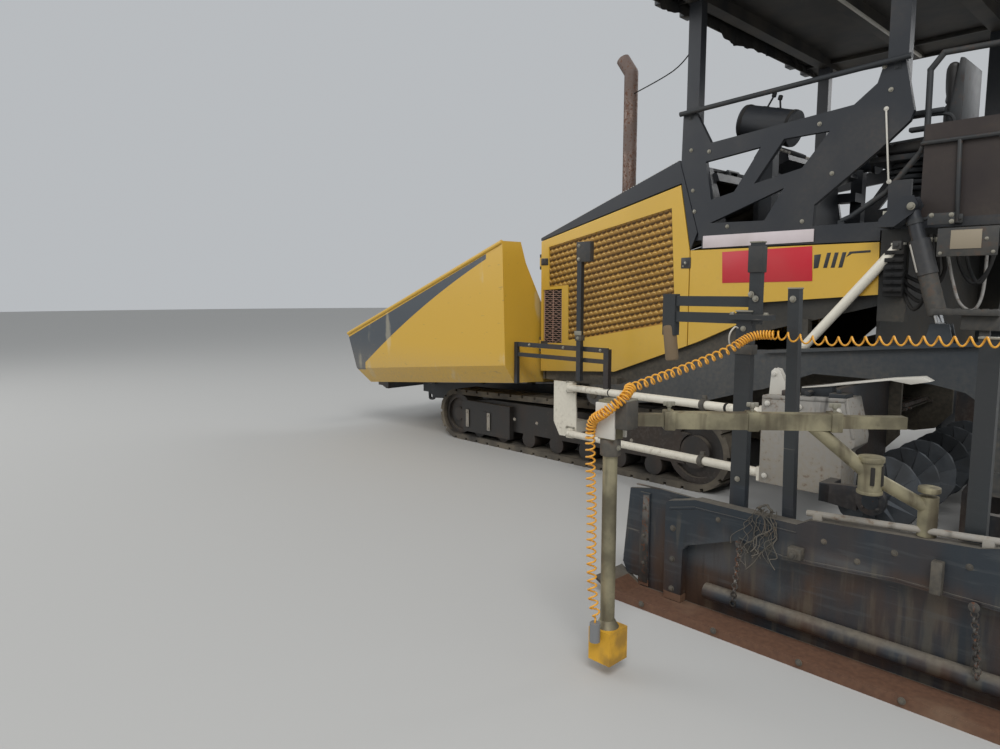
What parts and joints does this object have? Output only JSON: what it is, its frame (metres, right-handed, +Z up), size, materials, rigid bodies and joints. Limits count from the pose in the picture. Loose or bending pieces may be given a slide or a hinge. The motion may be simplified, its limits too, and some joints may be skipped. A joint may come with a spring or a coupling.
{
  "type": "tracked asphalt paver",
  "caption": "Tracked asphalt paver with folding hopper wings, slat conveyors, operator platform under a roof, augers and a telescoping screed on tow arms.",
  "frame": {"origin": "on the ground, in the middle of the whole machine's length and width", "axes": "+X the way it drives, +Y its left side, +Z up"},
  "size_m": [7.5, 8.064, 3.875],
  "materials": {
    "yellow_paint": "gloss",
    "anthracite_paint": "satin",
    "black_paint": "satin",
    "worn_black": "matt, dusty",
    "grey_paint": "matt",
    "white_paint": "satin",
    "bare_steel": "worn",
    "galvanised": "dull zinc",
    "chrome_rod": "polished",
    "exhaust_metal": "heat-dulled",
    "track_rubber": "dusty",
    "seat_vinyl": "matt vinyl",
    "cable_orange": "smooth polyurethane",
    "plug_grey": "moulded",
    "brown_panel": "matt brown",
    "engine_grey": "painted cast iron"
  },
  "bodies": {
    "tractor": {"chassis": "black_paint", "track_left": "track_rubber", "track_right": "track_rubber", "track_frame_left": "worn_black", "track_frame_right": "worn_black", "hopper_floor": "worn_black", "slat_conveyor": "bare_steel", "push_beam": "worn_black", "engine_door_left": "yellow_paint", "grille_left": "yellow_paint", "cowl_shoulders": "black_paint", "engine_block": "engine_grey", "exhaust_pipe": "exhaust_metal", "operator_floor": "black_paint", "rear_panels": "yellow_paint", "side_frames": "black_paint", "roof_posts": "black_paint", "roof": "black_paint", "console": "black_paint", "seats": "seat_vinyl", "rear_screens": "brown_panel", "handrails": "black_paint", "ladder": "black_paint", "auger_hanger": "worn_black", "tunnel_left": "grey_paint", "tunnel_right": "grey_paint", "brace_left": "white_paint", "brace_right": "white_paint", "sensor_bars": "worn_black"},
    "push_roller_left": {"push_roller_left": "bare_steel"},
    "push_roller_right": {"push_roller_right": "bare_steel"},
    "wing_left": {"wing_left": "yellow_paint"},
    "wing_right": {"wing_right": "yellow_paint"},
    "door_right": {"engine_door_right": "yellow_paint", "grille_right": "yellow_paint"},
    "hood": {"hood_lid": "black_paint"},
    "auger_left": {"auger_left": "bare_steel"},
    "auger_right": {"auger_right": "bare_steel"},
    "barrel_left": {"lift_barrel_left": "black_paint"},
    "barrel_right": {"lift_barrel_right": "black_paint"},
    "rod_left": {"lift_rod_left": "chrome_rod"},
    "rod_right": {"lift_rod_right": "chrome_rod"},
    "screed": {"tow_arm_left": "anthracite_paint", "tow_arm_right": "anthracite_paint", "screed_body": "worn_black"},
    "extension_left": {"extension_left": "worn_black"},
    "extension_right": {"extension_right": "worn_black"},
    "gate_left": {"end_gate_left": "worn_black", "grade_sensor_left": "galvanised", "control_box": "worn_black", "curly_cable": "cable_orange", "cable_plug": "plug_grey"},
    "gate_right": {"end_gate_right": "worn_black", "grade_sensor_right": "galvanised"}
  },
  "joints": [
    {"name": "push_roller_left_spin", "type": "hinge", "parent": "tractor", "child": "push_roller_left", "pos_m": [3.665, 0.5, 0.48], "axis": [0, 1, 0], "continuous": true},
    {"name": "push_roller_right_spin", "type": "hinge", "parent": "tractor", "child": "push_roller_right", "pos_m": [3.665, -0.5, 0.48], "axis": [0, 1, 0], "continuous": true},
    {"name": "wing_left_fold", "type": "hinge", "parent": "tractor", "child": "wing_left", "pos_m": [0.92, 0.76, 0.7], "axis": [0.9962, 0, -0.0872], "range_deg": [0, 55]},
    {"name": "wing_right_fold", "type": "hinge", "parent": "tractor", "child": "wing_right", "pos_m": [0.92, -0.76, 0.7], "axis": [-0.9962, 0, 0.0872], "range_deg": [0, 55]},
    {"name": "door_right_swing", "type": "hinge", "parent": "tractor", "child": "door_right", "pos_m": [0.892, -1.258, 1.4], "axis": [0, 0, 1], "range_deg": [0, 80]},
    {"name": "hood_lift", "type": "hinge", "parent": "tractor", "child": "hood", "pos_m": [-0.597, 0, 2.592], "axis": [0, -1, 0], "range_deg": [0, 50]},
    {"name": "auger_left_spin", "type": "hinge", "parent": "tractor", "child": "auger_left", "pos_m": [-2.4, 1, 0.45], "axis": [0, 1, 0], "continuous": true},
    {"name": "auger_right_spin", "type": "hinge", "parent": "tractor", "child": "auger_right", "pos_m": [-2.4, -1, 0.45], "axis": [0, 1, 0], "continuous": true},
    {"name": "screed_lift", "type": "hinge", "parent": "tractor", "child": "screed", "pos_m": [0.1, 0, 0.7], "axis": [0, 1, 0], "range_deg": [0, 6]},
    {"name": "lift_left_swing", "type": "hinge", "parent": "tractor", "child": "barrel_left", "pos_m": [-2.27, 1.37, 2.11], "axis": [0, 1, 0], "range_deg": [-1, 0]},
    {"name": "lift_right_swing", "type": "hinge", "parent": "tractor", "child": "barrel_right", "pos_m": [-2.27, -1.37, 2.11], "axis": [0, 1, 0], "range_deg": [-1, 0]},
    {"name": "lift_left_stroke", "type": "slide", "parent": "barrel_left", "child": "rod_left", "axis": [0.2696, 0, 0.963], "range_m": [0, 0.28]},
    {"name": "lift_right_stroke", "type": "slide", "parent": "barrel_right", "child": "rod_right", "axis": [0.2696, 0, 0.963], "range_m": [0, 0.28]},
    {"name": "extension_left_slide", "type": "slide", "parent": "screed", "child": "extension_left", "axis": [0, -1, 0], "range_m": [0, 0.85]},
    {"name": "extension_right_slide", "type": "slide", "parent": "screed", "child": "extension_right", "axis": [0, 1, 0], "range_m": [0, 0.85]},
    {"name": "gate_left_lift", "type": "slide", "parent": "extension_left", "child": "gate_left", "axis": [0, 0, 1], "range_m": [0, 0.15]},
    {"name": "gate_right_lift", "type": "slide", "parent": "extension_right", "child": "gate_right", "axis": [0, 0, 1], "range_m": [0, 0.15]}
  ],
  "couplings": [
    {"joint": "lift_left_swing", "follows": "screed_lift", "ratio": -0.158},
    {"joint": "lift_left_stroke", "follows": "screed_lift", "m_per_rad": 2.664},
    {"joint": "lift_right_swing", "follows": "screed_lift", "ratio": -0.158},
    {"joint": "lift_right_stroke", "follows": "screed_lift", "m_per_rad": 2.664}
  ]
}
